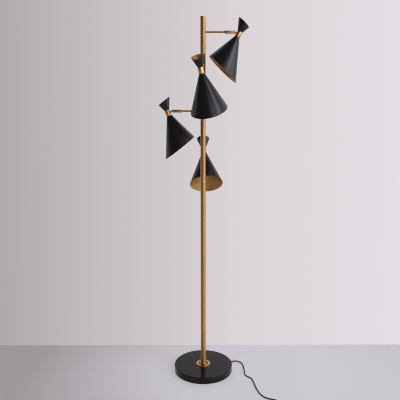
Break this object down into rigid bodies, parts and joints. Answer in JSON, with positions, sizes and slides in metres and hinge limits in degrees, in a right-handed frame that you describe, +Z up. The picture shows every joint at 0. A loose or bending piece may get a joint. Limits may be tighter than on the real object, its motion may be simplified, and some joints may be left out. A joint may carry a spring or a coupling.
{
  "type": "tree floor lamp",
  "caption": "Floor lamp with a round weighted base, a brass pole and short arms at different heights, each with a black hourglass shade on a swivelling, tilting knuckle.",
  "frame": {"origin": "centre of the base's underside, on the floor", "axes": "+Z up along the pole, -Y to the front, +X to the right of someone who looks at the front"},
  "size_m": [0.5652, 0.6803, 1.656],
  "materials": {
    "black_enamel": "gloss",
    "grey_iron": "rough",
    "foot_pad": "matte",
    "plain_steel": "satin",
    "satin_brass": "satin",
    "black_shade": "satin",
    "black_phenolic": "gloss",
    "bulb_glass": "clear",
    "cord_rubber": "matte",
    "black_cord": "satin",
    "black_housing": "matte",
    "black_button": "gloss",
    "black_plug": "satin"
  },
  "bodies": {
    "stand": {"arm_tube_1": "satin_brass", "arm_tube_2": "satin_brass", "arm_tube_3": "satin_brass", "arm_tube_4": "satin_brass", "base_cover": "black_enamel", "base_mat": "foot_pad", "base_weight": "grey_iron", "cord": "black_cord", "cord_coil": "black_cord", "foot_flange": "satin_brass", "foot_switch": "black_housing", "lock_nut": "plain_steel", "lower_pole": "satin_brass", "plug": "black_plug", "pole_cap": "satin_brass", "pole_coupler": "plain_steel", "strain_relief": "cord_rubber", "threaded_tube": "plain_steel", "upper_pole": "satin_brass"},
    "foot_button": {"foot_button": "black_button"},
    "knuckle_1": {"knuckle_1": "satin_brass", "pivot_pin_1": "plain_steel"},
    "shade_1": {"shade_tongue_1": "satin_brass", "collar_1": "satin_brass", "big_cone_1": "black_shade", "small_cone_1": "black_shade", "shade_nipple_1": "plain_steel", "shade_nut_1": "satin_brass", "lampholder_1": "black_phenolic", "bulb_1": "bulb_glass"},
    "knuckle_2": {"knuckle_2": "satin_brass", "pivot_pin_2": "plain_steel"},
    "shade_2": {"shade_tongue_2": "satin_brass", "collar_2": "satin_brass", "big_cone_2": "black_shade", "small_cone_2": "black_shade", "shade_nipple_2": "plain_steel", "shade_nut_2": "satin_brass", "lampholder_2": "black_phenolic", "bulb_2": "bulb_glass"},
    "knuckle_3": {"knuckle_3": "satin_brass", "pivot_pin_3": "plain_steel"},
    "shade_3": {"shade_tongue_3": "satin_brass", "collar_3": "satin_brass", "big_cone_3": "black_shade", "small_cone_3": "black_shade", "shade_nipple_3": "plain_steel", "shade_nut_3": "satin_brass", "lampholder_3": "black_phenolic", "bulb_3": "bulb_glass"},
    "knuckle_4": {"knuckle_4": "satin_brass", "pivot_pin_4": "plain_steel"},
    "shade_4": {"shade_tongue_4": "satin_brass", "collar_4": "satin_brass", "big_cone_4": "black_shade", "small_cone_4": "black_shade", "shade_nipple_4": "plain_steel", "shade_nut_4": "satin_brass", "lampholder_4": "black_phenolic", "bulb_4": "bulb_glass"}
  },
  "joints": [
    {"name": "swivel_1", "type": "hinge", "parent": "stand", "child": "knuckle_1", "pos_m": [0.10798, 0.00188, 1.59], "axis": [0.9998, 0.0175, 0], "range_deg": [-40.5, 39.5]},
    {"name": "tilt_1", "type": "hinge", "parent": "knuckle_1", "child": "shade_1", "pos_m": [0.13698, 0.00239, 1.59], "axis": [-0.0175, 0.9998, 0.0087], "range_deg": [-73.4, 1.6]},
    {"name": "swivel_2", "type": "hinge", "parent": "stand", "child": "knuckle_2", "pos_m": [-0.00659, -0.1078, 1.42], "axis": [-0.061, -0.9981, 0], "range_deg": [-51.4, 28.6]},
    {"name": "tilt_2", "type": "hinge", "parent": "knuckle_2", "child": "shade_2", "pos_m": [-0.00836, -0.13674, 1.42], "axis": [0.9784, -0.0598, 0.1977], "range_deg": [-53, 22]},
    {"name": "swivel_3", "type": "hinge", "parent": "stand", "child": "knuckle_3", "pos_m": [-0.10793, -0.00377, 1.251], "axis": [-0.9994, -0.0349, 0], "range_deg": [-40.5, 39.5]},
    {"name": "tilt_3", "type": "hinge", "parent": "knuckle_3", "child": "shade_3", "pos_m": [-0.13692, -0.00478, 1.251], "axis": [0.0349, -0.9994, 0.0087], "range_deg": [-67, 8]},
    {"name": "swivel_4", "type": "hinge", "parent": "stand", "child": "knuckle_4", "pos_m": [0.00283, 0.10796, 1.07], "axis": [0.0262, 0.9997, 0], "range_deg": [-35.4, 44.6]},
    {"name": "tilt_4", "type": "hinge", "parent": "knuckle_4", "child": "shade_4", "pos_m": [0.00359, 0.13695, 1.07], "axis": [-0.9964, 0.0261, -0.0802], "range_deg": [-64.7, 10.3]},
    {"name": "foot_button_press", "type": "slide", "parent": "stand", "child": "foot_button", "axis": [0, 0, -1], "range_m": [0, 0.003], "stiffness_N_per_m": 400, "springref_m": -0.003}
  ]
}
